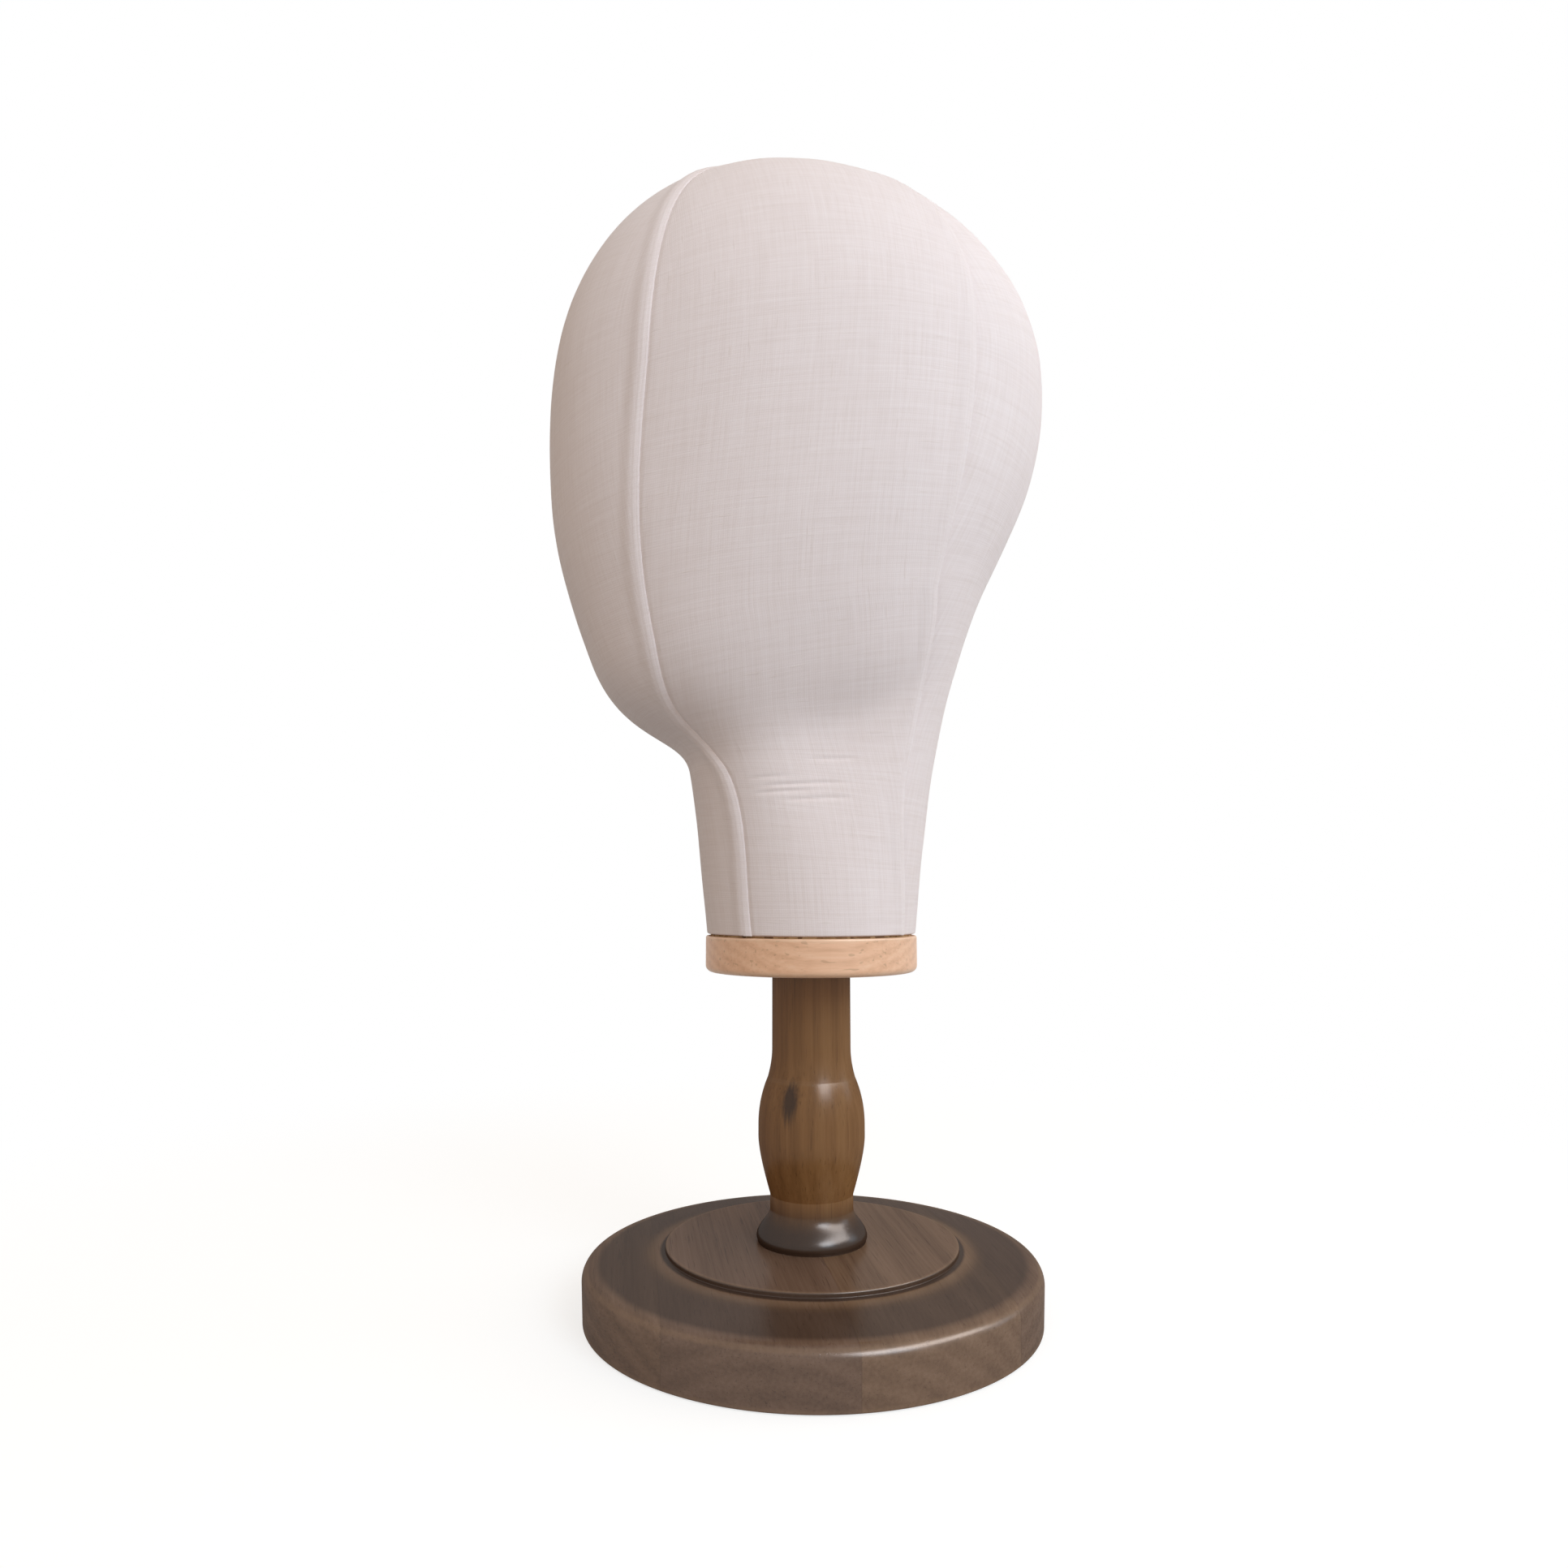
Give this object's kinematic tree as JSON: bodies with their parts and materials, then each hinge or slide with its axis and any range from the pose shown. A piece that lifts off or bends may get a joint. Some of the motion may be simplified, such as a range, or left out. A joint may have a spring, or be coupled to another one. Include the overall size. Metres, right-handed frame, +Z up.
{
  "type": "wig stand",
  "caption": "Canvas-covered featureless head block on a turned wooden stand; it turns on a steel pin and lifts off for fitting and dressing wigs or hats.",
  "frame": {"origin": "on the table under the axis of the column, at the underside of the base felt", "axes": "+Z up along the column and the swivel pin; the face of the head looks along -Y; +X is the head's left side"},
  "size_m": [0.18, 0.2095, 0.4734],
  "materials": {
    "felt": "matte",
    "walnut": "satin",
    "beech": "satin",
    "cork": "matte",
    "canvas": "matte",
    "leather": "satin",
    "steel": "satin",
    "brass": "satin"
  },
  "bodies": {
    "stand": {"base_felt": "felt", "base_disc": "walnut", "column": "walnut", "base_bolt": "steel", "bolt_washer": "steel", "threaded_sleeve": "brass", "swivel_pin": "steel"},
    "swivel": {"swivel_washer": "leather"},
    "head": {"neck_bush": "brass", "neck_plate": "beech", "plate_screws": "steel", "neck_plug": "beech", "head_core": "cork", "face_panel": "canvas", "left_panel": "canvas", "back_panel": "canvas", "right_panel": "canvas", "left_front_seam": "canvas", "left_back_seam": "canvas", "right_back_seam": "canvas", "right_front_seam": "canvas"}
  },
  "joints": [
    {"name": "head_turn", "type": "hinge", "parent": "stand", "child": "swivel", "pos_m": [0, 0, 0.1307], "axis": [0, 0, 1], "continuous": true},
    {"name": "head_lift", "type": "slide", "parent": "swivel", "child": "head", "axis": [0, 0, 1], "range_m": [0, 0.056]}
  ]
}
